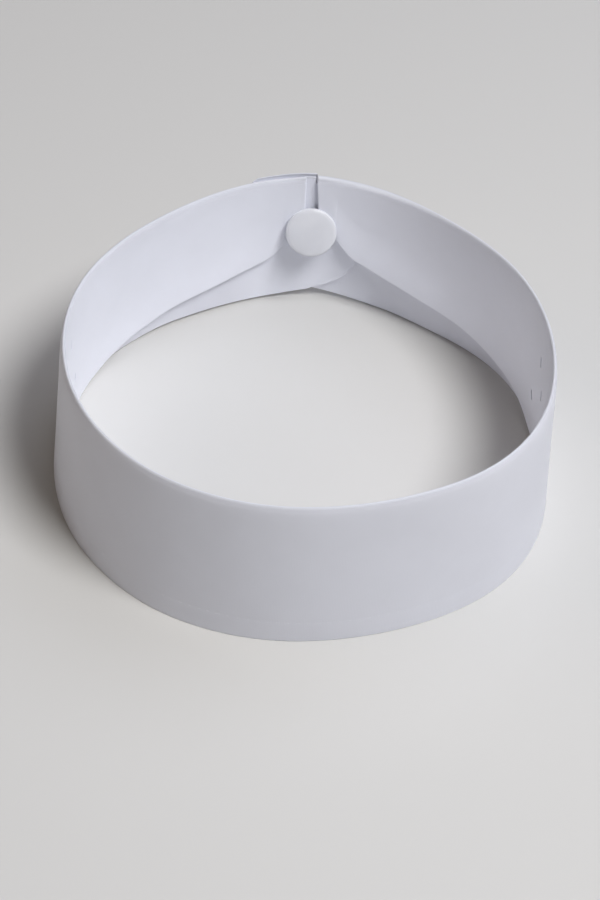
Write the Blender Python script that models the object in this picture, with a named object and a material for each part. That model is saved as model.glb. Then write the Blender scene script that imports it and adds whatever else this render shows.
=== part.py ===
"""A stiffened white clergy collar, standing on its lower edge with its stud done up at the back.

Metres, +Z up. The front (throat) is at -Y, the fastening at +Y, and the right side, as seen from
the front, at +X. The collar is three pieces: the outer leaf, whose ends pass each other at the
back, the inner leaf, whose ends stop either side of a slit there, and the stud through both
buttonholes. Lengths below are in millimetres.
"""
import math

import bmesh
import bpy
import numpy as np
from mathutils import Matrix, Vector

MM = 0.001

# Driving sizes
DEPTH = 44.5  # height of the collar, 1 3/4 in
RIM_RADIUS = 62.6  # mean outer radius of the top edge, for a neck of about 380 mm
FLARE = 2.25  # how much wider the lower edge is than the top edge
CLOTH = 1.0  # thickness of each leaf
SEAM = 0.3  # space between pieces that touch
ARC_RADIUS = 64.0  # turns an angle round the collar into a distance along the cloth

# The plan of the top edge, seen from above: waves added to the mean radius
PLAN_WAVES = (
    # waves round the neck, amount with a crest at the back, amount a quarter wave on towards +X
    (2, -0.20, 0.00),
    (3, 1.35, -0.10),
    (4, 0.30, 0.30),
    (5, 0.40, -0.25),
    (6, 0.25, 0.00),
)
SHOULDER_FLARE = 2.3  # extra flare where the lower edge spreads over the shoulders
SHOULDER_ANGLE = 55.0  # degrees from the back
SHOULDER_WIDTH = 20.0
SIDE_FLARE = 0.6  # the left side flares this much more, and the right side less

# The fold over the top edge
FOLD_HEIGHT = 1.15
FOLD_LIP = 0.8
FOLD_STEPS = 6

# The fastening
SLIT_LEFT = 1.7  # from the back centre to the left end of the inner leaf
SLIT_RIGHT = 1.1
SLIT_LEAN = 0.14  # how far the right end leans away per mm down
SLIT_LEAN_REACH = 7.0
LAP_FULL = 18.0  # within this distance of the back the leaves lie one on another
LAP_START = 45.0
TONGUE_TOP = 44.0  # the tongue's top edge where it shows in the slit
TONGUE_STEP = 0.5  # distance past the back centre where it drops to pass under the fold
TAIL_CORNER = 3.0
STUD_SIDE = 0.3  # the stud and both buttonholes sit this far towards +X
STUD_HEIGHT = 26.1
STUD_LEAN = 20.0  # degrees that the stud's face looks up
DISC_RADIUS = 6.8
DISC_SEAT_RADIUS = 5.9
DISC_THICKNESS = 2.85
POST_RADIUS = 1.6
HEAD_RADIUS = 4.0
HEAD_THICKNESS = 1.4
BUTTONHOLE_WIDTH = 3.8
BUTTONHOLE_HEIGHT = 6.0
DISC_NOTCH = 7.4  # radius of the space that the inner leaf leaves round the stud's disc
NOTCH_HEIGHT = 27.6  # centre of that space
STUD_SIDES = 40

# Lower edge of the outer leaf: distance from the back centre, height above the table
OUTER_EDGE = (
    (0, 3.2),
    (4, 2.3),
    (9, 1.5),
    (16, 1.1),
    (30, 1.3),
    (42, 1.3),
    (52, 0.6),
    (62, 0.0),
)
# Lower edge of each end past the back centre: distance past it, height
TONGUE_EDGE = (
    (0.0, 3.2),
    (1.4, 4.0),
    (3.4, 4.8),
    (5.3, 5.9),
    (7.4, 7.4),
    (9.6, 9.4),
    (11.6, 12.2),
    (14.0, 16.5),
    (15.8, 21.0),
    (17.0, 27.0),
)
# Lower edge of the inner leaf: distance from the back centre, height on the left, on the right
INNER_EDGE = (
    (7.6, 20.6, 23.8),
    (10, 17.5, 20.6),
    (13, 15.6, 17.8),
    (17, 14.0, 16.2),
    (23, 12.0, 14.2),
    (29, 10.5, 12.8),
    (36, 9.2, 11.4),
    (43, 7.8, 10.2),
    (50, 5.8, 9.0),
    (57, 4.0, 7.3),
    (64, 2.0, 5.5),
    (71, 0.6, 4.1),
    (78, 0.3, 2.6),
    (86, 0.3, 0.7),
    (92, 0.3, 0.3),
)
END_STEP = 1.2  # distance between sections near the back
RING_STEP = 3.4  # and round the rest
END_REACH = 20.0


def clear_scene():
    for item in list(bpy.data.objects):
        bpy.data.objects.remove(item, do_unlink=True)


def finish(name, colour, roughness):
    """A plain Principled material."""
    material = bpy.data.materials.new(name)
    material.use_nodes = True
    shader = material.node_tree.nodes["Principled BSDF"]
    shader.inputs["Base Color"].default_value = (*colour, 1.0)
    shader.inputs["Roughness"].default_value = roughness
    shader.inputs["Metallic"].default_value = 0.0
    return material


def through(x, rows, column=1):
    """A smooth curve through one column of a table, which never overshoots its rows."""
    knots = np.array([row[0] for row in rows], float)
    values = np.array([row[column] for row in rows], float)
    step = np.diff(knots)
    slope = np.diff(values) / step
    tangent = np.zeros(len(knots))
    for i in range(1, len(knots) - 1):
        if slope[i - 1] * slope[i] > 0:
            tangent[i] = 2 * slope[i - 1] * slope[i] / (slope[i - 1] + slope[i])
    tangent[0] = slope[0]
    tangent[-1] = 0.0 if abs(slope[-1]) < 1e-9 else slope[-1]
    x = min(max(x, knots[0]), knots[-1])
    i = min(int(np.searchsorted(knots, x, side="right")) - 1, len(step) - 1)
    t = (x - knots[i]) / step[i]
    rise = values[i] * (1 + 2 * t) * (1 - t) ** 2 + values[i + 1] * t * t * (3 - 2 * t)
    bend = tangent[i] * t * (1 - t) ** 2 - tangent[i + 1] * t * t * (1 - t)
    return float(rise + step[i] * bend)


def ease(t):
    t = min(max(t, 0.0), 1.0)
    return t * t * (3 - 2 * t)


def lap(distance):
    """1 where the ends lie one on another at the back, fading to 0 round the sides."""
    return ease((LAP_START - distance) / (LAP_START - LAP_FULL))


def rim_radius(angle):
    """Outer radius of the top edge, at an angle from the back towards +X."""
    waves = (a * math.cos(n * angle) + b * math.sin(n * angle) for n, a, b in PLAN_WAVES)
    return RIM_RADIUS + sum(waves)


def flare(angle):
    turned = abs(math.degrees(math.remainder(angle, math.tau)))
    shoulder = math.exp(-(((turned - SHOULDER_ANGLE) / SHOULDER_WIDTH) ** 2))
    return FLARE - SIDE_FLARE * math.sin(angle) + SHOULDER_FLARE * shoulder


def on_wall(along, height, outward):
    """A point of the collar: distance from the back centre towards +X, height, offset outwards."""
    angle = along / ARC_RADIUS
    radius = rim_radius(angle) + flare(angle) * (1 - height / DEPTH) + outward
    return Vector((radius * math.sin(angle), radius * math.cos(angle), height))


ROUND = math.tau * ARC_RADIUS  # once round, in the same distance along the cloth


def stations(start, end):
    """Distances along a leaf from one end to the other, close together near the back."""
    first = np.linspace(start, END_REACH, round((END_REACH - start) / END_STEP) + 1)
    ring = np.linspace(END_REACH, ROUND - END_REACH, round((ROUND - 2 * END_REACH) / RING_STEP) + 1)
    last = np.linspace(ROUND - END_REACH, end, round((end - ROUND + END_REACH) / END_STEP) + 1)
    return [*first, *ring[1:-1], *last]


def from_back(travel):
    """Distance to the back centre, and whether the right end of the leaf is the nearer one."""
    on_right = travel > ROUND / 2
    return (ROUND - travel if on_right else travel), on_right


def swept(name, sections, material):
    """One closed solid through closed sections of equal point count, with both ends filled."""
    shape = bmesh.new()
    rings = [[shape.verts.new(point * MM) for point in section] for section in sections]
    count = len(rings[0])
    for before, after in zip(rings, rings[1:]):
        for i in range(count):
            j = (i + 1) % count
            shape.faces.new((before[i], before[j], after[j], after[i]))
    shape.faces.new(rings[0])
    shape.faces.new(rings[-1][::-1])
    bmesh.ops.recalc_face_normals(shape, faces=shape.faces)
    mesh = bpy.data.meshes.new(name)
    shape.to_mesh(mesh)
    shape.free()
    mesh.materials.append(material)
    mesh.shade_smooth()
    mesh.set_sharp_from_angle(angle=math.radians(35))
    item = bpy.data.objects.new(name, mesh)
    bpy.context.scene.collection.objects.link(item)
    return item


def outer_leaf_section(travel):
    """Section of the outer leaf: outer face, fold over the top, and inner face."""
    distance, on_right = from_back(travel)
    lapped = lap(max(distance, 0.0))
    shift = (CLOTH + SEAM) / 2 * lapped * (1 if on_right else -1)
    slit = SLIT_RIGHT if on_right else SLIT_LEFT
    if distance >= slit:
        top = DEPTH
        width = 2 * CLOTH + SEAM + ((CLOTH + SEAM) * lapped if on_right else 0.0)
        crown, lip = FOLD_HEIGHT, FOLD_LIP
    else:
        top = tail_top(-distance) if on_right else tongue_top(-distance)
        width = CLOTH + 0.05
        crown, lip = 0.3, 0.1
    past = -distance
    low = through(past, TONGUE_EDGE) if past > 0 else through(distance, OUTER_EDGE)
    spots = [(low, 0.0), (top - crown, 0.0)]
    for step in range(1, FOLD_STEPS):
        turn = math.pi * step / FOLD_STEPS
        across = width * (1 - math.cos(turn)) / 2
        spots.append((top - crown + crown * math.sin(turn), -across))
    spots.append((top - crown, -width))
    spots.append((top - crown - lip, -width))
    spots.append((top - crown - lip, -CLOTH))
    spots.append((low, -CLOTH))
    return [on_wall(-travel, height, shift + outward) for height, outward in spots]


def tail_top(past):
    """Top edge of the right end, which passes outside: level, with a rounded corner."""
    into = max(past - (TONGUE_EDGE[-1][0] - TAIL_CORNER), 0.0)
    return DEPTH - TAIL_CORNER + math.sqrt(max(TAIL_CORNER**2 - into**2, 0.0))


def tongue_top(past):
    """Top edge of the left end, which steps down to pass under the right end's fold."""
    under_fold = DEPTH - FOLD_HEIGHT - FOLD_LIP - SEAM
    if past < TONGUE_STEP:
        return TONGUE_TOP
    return min(under_fold, tail_top(past) - (DEPTH - under_fold))


def outer_leaf_stations():
    """The sections of the outer leaf, with a pair where each fold stops and the tongue steps."""
    reach = TONGUE_EDGE[-1][0]
    found = stations(-reach, ROUND + reach)
    stops = (SLIT_LEFT, -TONGUE_STEP, ROUND - SLIT_RIGHT)
    for stop in stops:
        found = [s for s in found if abs(s - stop) > 0.3]
        found += [stop - 0.05, stop + 0.05]
    return sorted(found)


def inner_leaf_edge(distance, on_right):
    """Height of the inner leaf's lower edge: round the stud's disc, then down in a long sweep."""
    if distance < DISC_NOTCH:
        return NOTCH_HEIGHT + math.sqrt(DISC_NOTCH**2 - distance**2)
    return through(distance, INNER_EDGE, 2 if on_right else 1)


def inner_leaf_section(travel):
    distance, on_right = from_back(travel)
    outer = -(CLOTH + SEAM) - (CLOTH + SEAM) / 2 * lap(distance)
    low = inner_leaf_edge(distance, on_right)
    top = DEPTH - FOLD_HEIGHT - FOLD_LIP - SEAM
    section = []
    for height, outward in ((low, outer), (top, outer), (top, outer - CLOTH), (low, outer - CLOTH)):
        lean = 0.0
        if on_right and distance < SLIT_LEAN_REACH:
            fade = (SLIT_LEAN_REACH - distance) / (SLIT_LEAN_REACH - SLIT_RIGHT)
            lean = SLIT_LEAN * (DEPTH - height) * fade
        section.append(on_wall(-travel + lean, height, outward))
    return section


def inner_leaf_stations():
    found = stations(SLIT_LEFT, ROUND - SLIT_RIGHT)
    for stop in (DISC_NOTCH, ROUND - DISC_NOTCH):
        found = [s for s in found if abs(s - stop) > 0.4]
        found += [stop - 0.02, stop + 0.12] if stop < ROUND / 2 else [stop - 0.12, stop + 0.02]
    return sorted(found)


def cut_buttonhole(leaf):
    """One upright buttonhole through both ends of the outer leaf."""
    half = BUTTONHOLE_WIDTH / 2
    straight = BUTTONHOLE_HEIGHT / 2 - half
    outline = []
    for step in range(17):
        turn = math.pi * step / 16
        outline.append((STUD_SIDE + half * math.cos(turn), straight + half * math.sin(turn)))
    for step in range(17):
        turn = math.pi + math.pi * step / 16
        outline.append((STUD_SIDE + half * math.cos(turn), -straight + half * math.sin(turn)))
    near = on_wall(0, STUD_HEIGHT, -6.0).y
    far = on_wall(0, STUD_HEIGHT, 4.0).y
    sections = [[Vector((x, y, STUD_HEIGHT + z)) for x, z in outline] for y in (near, far)]
    cutter = swept("buttonhole_cutter", sections, leaf.data.materials[0])
    cutter.hide_render = True
    cutter.display_type = "WIRE"
    cut = leaf.modifiers.new("Buttonhole", "BOOLEAN")
    cut.operation = "DIFFERENCE"
    cut.object = cutter


def stud_profile():
    """Radius and position along the stud's axis, from the neck side out."""
    lean = math.radians(STUD_LEAN) + math.atan(FLARE / DEPTH)
    tongue_face = (CLOTH + SEAM) / 2 + CLOTH
    tail_face = (CLOTH + SEAM) / 2
    disc_back = (tongue_face + DISC_SEAT_RADIUS * math.sin(lean) + SEAM) / math.cos(lean)
    head_back = -(tail_face + HEAD_RADIUS * math.sin(lean) + SEAM) / math.cos(lean)
    front = disc_back + DISC_THICKNESS
    edge = DISC_RADIUS
    return (
        (0.0, front),
        (edge * 0.45, front - 0.10),
        (edge * 0.78, front - 0.34),
        (edge * 0.93, front - 0.70),
        (edge, front - 1.30),
        (edge, disc_back + 0.75),
        (edge * 0.955, disc_back + 0.25),
        (DISC_SEAT_RADIUS, disc_back),
        (POST_RADIUS, disc_back),
        (POST_RADIUS, head_back),
        (HEAD_RADIUS - 0.4, head_back),
        (HEAD_RADIUS, head_back - 0.35),
        (HEAD_RADIUS, head_back - HEAD_THICKNESS + 0.5),
        (HEAD_RADIUS - 0.5, head_back - HEAD_THICKNESS),
        (0.0, head_back - HEAD_THICKNESS),
    )


def make_stud(material):
    """The collar stud: a domed disc inside, a post through the buttonholes, a small head outside."""
    shape = bmesh.new()
    profile = stud_profile()
    rings = []
    for radius, along in profile:
        if radius == 0.0:
            rings.append([shape.verts.new((0, 0, along * MM))])
            continue
        turns = [math.tau * i / STUD_SIDES for i in range(STUD_SIDES)]
        points = [(radius * math.cos(t) * MM, radius * math.sin(t) * MM, along * MM) for t in turns]
        rings.append([shape.verts.new(point) for point in points])
    for before, after in zip(rings, rings[1:]):
        for i in range(STUD_SIDES):
            j = (i + 1) % STUD_SIDES
            corners = [before[i % len(before)], before[j % len(before)]]
            corners += [after[j % len(after)], after[i % len(after)]]
            shape.faces.new(list(dict.fromkeys(corners)))
    bmesh.ops.recalc_face_normals(shape, faces=shape.faces)
    mesh = bpy.data.meshes.new("collar_stud")
    shape.to_mesh(mesh)
    shape.free()
    mesh.materials.append(material)
    mesh.shade_smooth()
    mesh.set_sharp_from_angle(angle=math.radians(35))
    stud = bpy.data.objects.new("collar_stud", mesh)
    bpy.context.scene.collection.objects.link(stud)
    # the stud's own +Z points to the wearer's neck and up
    stud.rotation_euler = (math.radians(90.0 - STUD_LEAN), 0.0, 0.0)
    stud.location = on_wall(STUD_SIDE, STUD_HEIGHT, 0.0) * MM
    return stud


def stand_on_origin(pieces):
    """Moves the collar so that the origin is under the middle of its bounding box."""
    bpy.context.view_layer.update()
    corners = [piece.matrix_world @ v.co for piece in pieces for v in piece.data.vertices]
    middle = [(min(c[i] for c in corners) + max(c[i] for c in corners)) / 2 for i in range(2)]
    floor = min(c.z for c in corners)
    move = Matrix.Translation((-middle[0], -middle[1], -floor))
    for piece in bpy.data.objects:
        piece.matrix_world = move @ piece.matrix_world


def main():
    clear_scene()
    cloth = finish("stiffened white cloth", (0.80, 0.80, 0.86), 0.55)
    lining = finish("stiffened white cloth, inside", (0.82, 0.82, 0.87), 0.5)
    plastic = finish("white stud", (0.75, 0.75, 0.74), 0.35)
    outer = swept("outer_leaf", [outer_leaf_section(s) for s in outer_leaf_stations()], cloth)
    inner = swept("inner_leaf", [inner_leaf_section(s) for s in inner_leaf_stations()], lining)
    cut_buttonhole(outer)
    stud = make_stud(plastic)
    stand_on_origin([outer, inner, stud])


main()
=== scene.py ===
# %% [markdown]
# # A stiff white clergy collar, fastened at the back with a stud
#
# The real collar is two strips of stiffened white cloth. The outer leaf is turned over the top
# edge as a rounded fold, and its two ends pass each other at the back of the neck. The inner leaf
# is tucked under that fold. A stud goes through a buttonhole in each end of the outer leaf.
#
# The solids of these three pieces are already packed as a frame. This script keeps their sizes and
# places, and gives each one its finer form: rounded cloth edges, a hem with its row of stitches,
# slits that let air through the inner leaf, sewn buttonholes, and finishes made from nodes.

import math

import bmesh
import bpy
import numpy as np
from mathutils import Matrix, Vector


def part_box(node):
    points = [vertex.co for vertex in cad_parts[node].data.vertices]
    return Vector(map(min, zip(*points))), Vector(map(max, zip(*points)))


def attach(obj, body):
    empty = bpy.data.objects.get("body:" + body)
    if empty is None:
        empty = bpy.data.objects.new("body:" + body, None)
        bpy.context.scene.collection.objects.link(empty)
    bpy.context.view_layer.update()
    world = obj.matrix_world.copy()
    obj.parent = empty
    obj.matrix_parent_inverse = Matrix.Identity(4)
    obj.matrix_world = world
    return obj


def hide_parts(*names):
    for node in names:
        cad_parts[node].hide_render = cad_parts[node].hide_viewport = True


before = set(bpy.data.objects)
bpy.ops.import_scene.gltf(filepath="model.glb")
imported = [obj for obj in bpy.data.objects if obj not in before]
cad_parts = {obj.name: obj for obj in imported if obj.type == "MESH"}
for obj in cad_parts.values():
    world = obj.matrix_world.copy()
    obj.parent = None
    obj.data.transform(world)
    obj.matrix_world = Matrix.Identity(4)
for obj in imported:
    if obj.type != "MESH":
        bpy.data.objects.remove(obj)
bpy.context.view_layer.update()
MM = 0.001
print("solids to dress:", sorted(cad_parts))

# %% [markdown]
# ## The sizes of the collar
#
# A collar is a strip bent round the neck. Every point on it can be named by how far it is from the
# back centre along the cloth, how high it stands, and how far it lies outwards from the outer face.
# A few named sizes and short tables give the rest, and the same formulas place the leaves, the
# stitches and the slits, so they always fit one another.

# %% Sizes of the ring, in millimetres
DEPTH = 44.5
RIM_RADIUS = 62.6
FLARE = 2.25
CLOTH = 1.0
SEAM = 0.3
HALF_LAP = (CLOTH + SEAM) / 2  # how far each end moves aside, so that the two pass
ARC_RADIUS = 64.0
ROUND = math.tau * ARC_RADIUS
PLAN_WAVES = (
    # waves round the neck, amount with a crest at the back, amount a quarter wave on towards +X
    (2, -0.20, 0.00),
    (3, 1.35, -0.10),
    (4, 0.30, 0.30),
    (5, 0.40, -0.25),
    (6, 0.25, 0.00),
)
SHOULDER_FLARE = 2.3
SHOULDER_ANGLE = 55.0
SHOULDER_WIDTH = 20.0
SIDE_FLARE = 0.6

FOLD_HEIGHT = 1.15
FOLD_LIP = 0.8
LIP_END = DEPTH - FOLD_HEIGHT - FOLD_LIP
SLIT = 1.45  # half its width
SLIT_LEAN = 0.07
SLIT_LEAN_REACH = 7.0
LAP_FULL = 18.0
LAP_START = 45.0
TONGUE_TOP = 44.0
TONGUE_STEP = 1.2
TAIL_CORNER = 3.0
TAIL_RISE = 0.1
STUD_SIDE = 0.45
STUD_HEIGHT = 26.1
DISC_NOTCH = 7.4

# distance from the back centre, height above the table
OUTER_EDGE = (
    (0, 3.2),
    (4, 2.3),
    (9, 1.5),
    (16, 1.1),
    (30, 1.3),
    (42, 1.3),
    (52, 0.6),
    (62, 0.0),
)
# distance past the back centre, height
TONGUE_EDGE = (
    (0.0, 3.2),
    (1.4, 4.0),
    (3.4, 4.8),
    (5.3, 5.9),
    (7.4, 7.4),
    (9.6, 9.4),
    (11.6, 12.2),
    (14.0, 16.5),
    (15.8, 21.0),
    (17.0, 27.0),
)
# distance from the back centre, height on the left, height on the right
INNER_EDGE = (
    (7.6, 20.6, 23.8),
    (10, 17.5, 20.6),
    (13, 15.6, 17.8),
    (17, 14.0, 16.2),
    (23, 12.0, 14.2),
    (29, 10.5, 12.8),
    (36, 9.2, 11.4),
    (43, 7.8, 10.2),
    (50, 5.8, 9.0),
    (57, 4.0, 7.3),
    (64, 2.0, 5.5),
    (71, 0.6, 4.1),
    (78, 0.3, 2.6),
    (86, 0.3, 0.7),
    (92, 0.3, 0.3),
)
print(f"inside the rim the collar is about {math.tau * (RIM_RADIUS - 2 * CLOTH - SEAM):.0f} mm round")


# %% Curves through the tables
def through(x, rows, column=1):
    """A smooth curve through one column of a table, which never overshoots its rows."""
    knots = np.array([row[0] for row in rows], float)
    values = np.array([row[column] for row in rows], float)
    step = np.diff(knots)
    slope = np.diff(values) / step
    tangent = np.zeros(len(knots))
    for i in range(1, len(knots) - 1):
        if slope[i - 1] * slope[i] > 0:
            tangent[i] = 2 * slope[i - 1] * slope[i] / (slope[i - 1] + slope[i])
    tangent[0] = slope[0]
    tangent[-1] = 0.0 if abs(slope[-1]) < 1e-9 else slope[-1]
    x = min(max(x, knots[0]), knots[-1])
    i = min(int(np.searchsorted(knots, x, side="right")) - 1, len(step) - 1)
    t = (x - knots[i]) / step[i]
    rise = values[i] * (1 + 2 * t) * (1 - t) ** 2 + values[i + 1] * t * t * (3 - 2 * t)
    bend = tangent[i] * t * (1 - t) ** 2 - tangent[i + 1] * t * t * (1 - t)
    return float(rise + step[i] * bend)


def ease(t):
    t = min(max(t, 0.0), 1.0)
    return t * t * (3 - 2 * t)


def lap(distance):
    """1 where the ends lie one on another at the back, fading to 0 round the sides."""
    return ease((LAP_START - distance) / (LAP_START - LAP_FULL))


def lap_shift(distance, on_right):
    """How far out the right end of the outer leaf lies, and the left end in, so that they pass."""
    return HALF_LAP * lap(max(distance, 0.0)) * (1 if on_right else -1)


# %% [markdown]
# ## How the layers lie at the rim
#
# The solids keep thick walls with a gap between them. Real layers are thinner and lie pressed
# together along the fold: in the photograph the rim is little more than 1 mm wide. Towards the top
# every layer is therefore drawn to the outermost face, all by the same share, so that none crosses
# another. At the back, where two stiff ends meet, the photograph shows the fold standing about half
# a millimetre higher. The shares below match the rim's width in the photograph.

# %% Sizes of the pressed rim
PRESSED = 0.4
PRESSED_REACH = 30.0
PRESSED_BEND = 1.4
END_RISE = 0.55
OUTER_END_REACH = 9.0
INNER_END_REACH = 4.0


def pressed(outward, height, angle):
    """An offset from the wall's own surface, once the layers are pressed towards the rim."""
    aside = abs(math.remainder(angle, math.tau)) * ARC_RADIUS
    face = HALF_LAP * lap(aside)
    near = max(1 - (DEPTH - height) / PRESSED_REACH, 0.0)
    share = 1 - PRESSED * near**PRESSED_BEND
    return face + (outward - face) * share


def risen(height, distance, reach):
    """A height, raised where a stiff end of the strip springs up at the back."""
    spring = END_RISE * math.exp(-((distance / reach) ** 2))
    return height + spring * (height / DEPTH) ** 4


# %% [markdown]
# ## Where the cloth isn't quite even
#
# Starched cloth that has been bent by hand keeps a few long, very shallow hollows. Without them the
# highlight along the front looks drawn with a ruler. Each row is one soft hollow or swell. Both
# leaves move by the same amount, so they never touch.

# %% Soft hollows and swells of the cloth
HOLLOWS = (
    # degrees from the back, half width in degrees, height of its middle, half height, depth
    (31, 7, 12, 17, 0.22),
    (63, 11, 40, 20, -0.16),
    (98, 8, 22, 22, 0.20),
    (126, 12, 8, 15, -0.18),
    (151, 9, 33, 19, 0.17),
    (178, 14, 15, 16, -0.14),
    (203, 8, 27, 24, 0.18),
    (229, 10, 6, 14, 0.20),
    (252, 9, 36, 18, -0.16),
    (281, 12, 18, 23, 0.21),
    (309, 7, 30, 18, -0.15),
    (334, 8, 10, 16, 0.19),
)


def unevenness(angle, height):
    """How far the cloth sinks in or swells out at a place on the collar."""
    turned = math.degrees(angle) % 360
    total = 0.0
    for middle, half_width, level, half_height, depth in HOLLOWS:
        across = (abs(turned - middle + 180) % 360 - 180) / half_width
        total -= depth * math.exp(-(across**2) - ((height - level) / half_height) ** 2)
    return total


def rim_radius(angle):
    """Outer radius of the top edge, at an angle from the back towards +X."""
    waves = (a * math.cos(n * angle) + b * math.sin(n * angle) for n, a, b in PLAN_WAVES)
    return RIM_RADIUS + sum(waves)


def flare(angle):
    turned = abs(math.degrees(math.remainder(angle, math.tau)))
    shoulder = math.exp(-(((turned - SHOULDER_ANGLE) / SHOULDER_WIDTH) ** 2))
    return FLARE - SIDE_FLARE * math.sin(angle) + SHOULDER_FLARE * shoulder


def on_wall(along, height, outward):
    """A point of the collar: distance from the back centre towards +X, height, offset outwards."""
    angle = along / ARC_RADIUS
    radius = rim_radius(angle) + flare(angle) * (1 - height / DEPTH)
    radius += pressed(outward, height, angle) + unevenness(angle, height)
    return Vector((radius * math.sin(angle), radius * math.cos(angle), height))


def outwards_at(along):
    """The level direction out of the collar at a distance from the back centre."""
    angle = along / ARC_RADIUS
    return Vector((math.sin(angle), math.cos(angle), 0.0))


# %% [markdown]
# ## From sections to cloth
#
# Each leaf is one long strip whose section changes along it: where the fold is, where the tongue
# slips under it, where the lower edge climbs to the stud. So a leaf is a row of closed sections
# with the same number of points, joined by faces. The section's own length and the distance along
# the strip go into a UV map in metres, which the weave follows.

# %% Build a strip from its sections
CREASE = math.radians(40)  # edges that bend more than this stay sharp


def placed(name, data):
    """A new object with the data, in the scene and at the origin."""
    item = bpy.data.objects.new(name, data)
    bpy.context.scene.collection.objects.link(item)
    return item


def piece_of(name, shape):
    """A smooth piece from a bmesh, with its sharp edges kept."""
    bmesh.ops.recalc_face_normals(shape, faces=shape.faces)
    mesh = bpy.data.meshes.new(name)
    shape.to_mesh(mesh)
    shape.free()
    mesh.shade_smooth()
    mesh.set_sharp_from_angle(angle=CREASE)
    return placed(name, mesh)


def from_back(travel):
    """Distance to the back centre, and whether the right end of the leaf is the nearer one."""
    on_right = bool(travel > ROUND / 2)
    return (ROUND - travel if on_right else travel), on_right


def stations(start, end, fine, coarse, reach=20.0):
    """Distances along a leaf, close together near the back and wider round the ring."""
    first = np.linspace(start, reach, round((reach - start) / fine) + 1)
    ring = np.linspace(reach, ROUND - reach, round((ROUND - 2 * reach) / coarse) + 1)
    last = np.linspace(ROUND - reach, end, round((end - ROUND + reach) / fine) + 1)
    return [*first, *ring[1:-1], *last]


def strip(name, travels, section_of, inside_of):
    """A closed shell through section_of(travel), with a UV map in metres along the cloth.

    inside_of(spot, travel) says how much of the inner face's white a spot has, from 0 to 1.
    """
    shape = bmesh.new()
    uv = shape.loops.layers.uv.new("cloth")
    inside = shape.verts.layers.float.new("inside")
    sections = [section_of(travel) for travel in travels]
    rings = [[shape.verts.new(point * MM) for point in section] for section in sections]
    count = len(rings[0])
    for travel, ring in zip(travels, rings):
        for spot, vertex in enumerate(ring):
            vertex[inside] = inside_of(spot, travel)
    across = []
    for section in sections:
        lengths = [(section[(i + 1) % count] - section[i]).length for i in range(count)]
        across.append([sum(lengths[:i]) for i in range(count + 1)])
    for n in range(len(rings) - 1):
        for i in range(count):
            j = (i + 1) % count
            corners = ((n, i, i), (n, j, i + 1), (n + 1, j, i + 1), (n + 1, i, i))
            face = shape.faces.new([rings[ring][spot] for ring, spot, _ in corners])
            for loop, (ring, _, spot) in zip(face.loops, corners):
                loop[uv].uv = (travels[ring] * MM, across[ring][spot] * MM)
    shape.faces.new(rings[0])
    shape.faces.new(rings[-1][::-1])
    print(f"{name}: {len(travels)} sections of {count} points")
    return piece_of(name, shape)


# %% [markdown]
# ## The outer leaf
#
# Walking round its section from the lower edge: a rounded hem, the outer face, the fold over the
# top, the short lip that holds the inner leaf, and the inner face down again. Past the slit at the
# back there is no fold: the left end goes inside as a tongue, and the right end outside as a tail.
# The hem is turned up inside, so the cloth is a hair thicker below its row of stitches, and the
# stitches pull a shallow groove.
#
# Two things are simply taken from the photograph. Right of the stud the lower edge lies nearer the
# table than on the left. And the inner faces of the two ends are as white as the inner leaf, so a
# number stored on every point tells the finish how much of that white to use there. Along the sides
# the inner face keeps the outer face's duller white, as painted shade under the inner leaf's edge.

# %% Hem, fold and edge sizes
HEM = 6.3
HEM_SWELL = 0.04
STITCH_GROOVE = 0.04
STITCH_GROOVE_WIDTH = 0.5
EDGE_ROUND = 0.2
FACE_ROWS = 16
CROWN = 0.95
FOLD_STEPS = 12
LIP_SHARES = (0.0, 0.2, 0.45, 0.7, 1.0)  # where its points lie, down from the fold
ROLL = 0.40
INNER_ROLL = 0.10
ROLL_REACH = 1.0
RIGHT_SINK = 0.65  # share of its height that the lower edge loses on the right
LEFT_BACK = 0.1  # how much further in the left end's fold lies, beside the right end
END_THIN = 0.4  # how much thinner the cut ends are at their top
FOLD_END = 0.35  # how far along the cloth the fold's end is rounded
STUMP_DROP = 0.15  # how far its top comes down there
STUMP_WIDTH = CLOTH + 0.05  # and what is left of its width, crown and lip
STUMP_CROWN = 0.3
STUMP_LIP = 0.1
CUT_CROWN = 0.12  # rounding of the tongue's and the tail's top edges
CUT_LIP = 0.06
BEHIND_LIP = 0.05  # spacing of the points that lie hidden behind the lip
WHITE_ENDS_SHADED_SIDES = (11.0, 26.0)  # whiter up to the first distance, fading by the second into painted shade along the sides


def hem_form(above):
    """How far the outer face stands out at a height above the lower edge."""
    swell = HEM_SWELL * ease((HEM + 0.5 - above) / 0.8)
    return swell - STITCH_GROOVE * math.exp(-(((above - HEM) / STITCH_GROOVE_WIDTH) ** 2))


def roll(amount, below_top):
    """How far a face turns towards the fold, in one slow curve."""
    return amount * math.exp(-below_top / ROLL_REACH)


def tail_top(past):
    """Top edge of the right end, which passes outside: level, with a rounded corner."""
    into = max(past - (TONGUE_EDGE[-1][0] - TAIL_CORNER), 0.0)
    corner = math.sqrt(max(TAIL_CORNER**2 - into**2, 0.0))
    return DEPTH + TAIL_RISE - TAIL_CORNER + corner


def tongue_top(past):
    """Top edge of the left end, which steps down to pass under the right end's fold."""
    under_fold = LIP_END - SEAM
    if past < TONGUE_STEP:
        return TONGUE_TOP
    return min(under_fold, tail_top(past) - TAIL_RISE - (DEPTH - under_fold))


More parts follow.
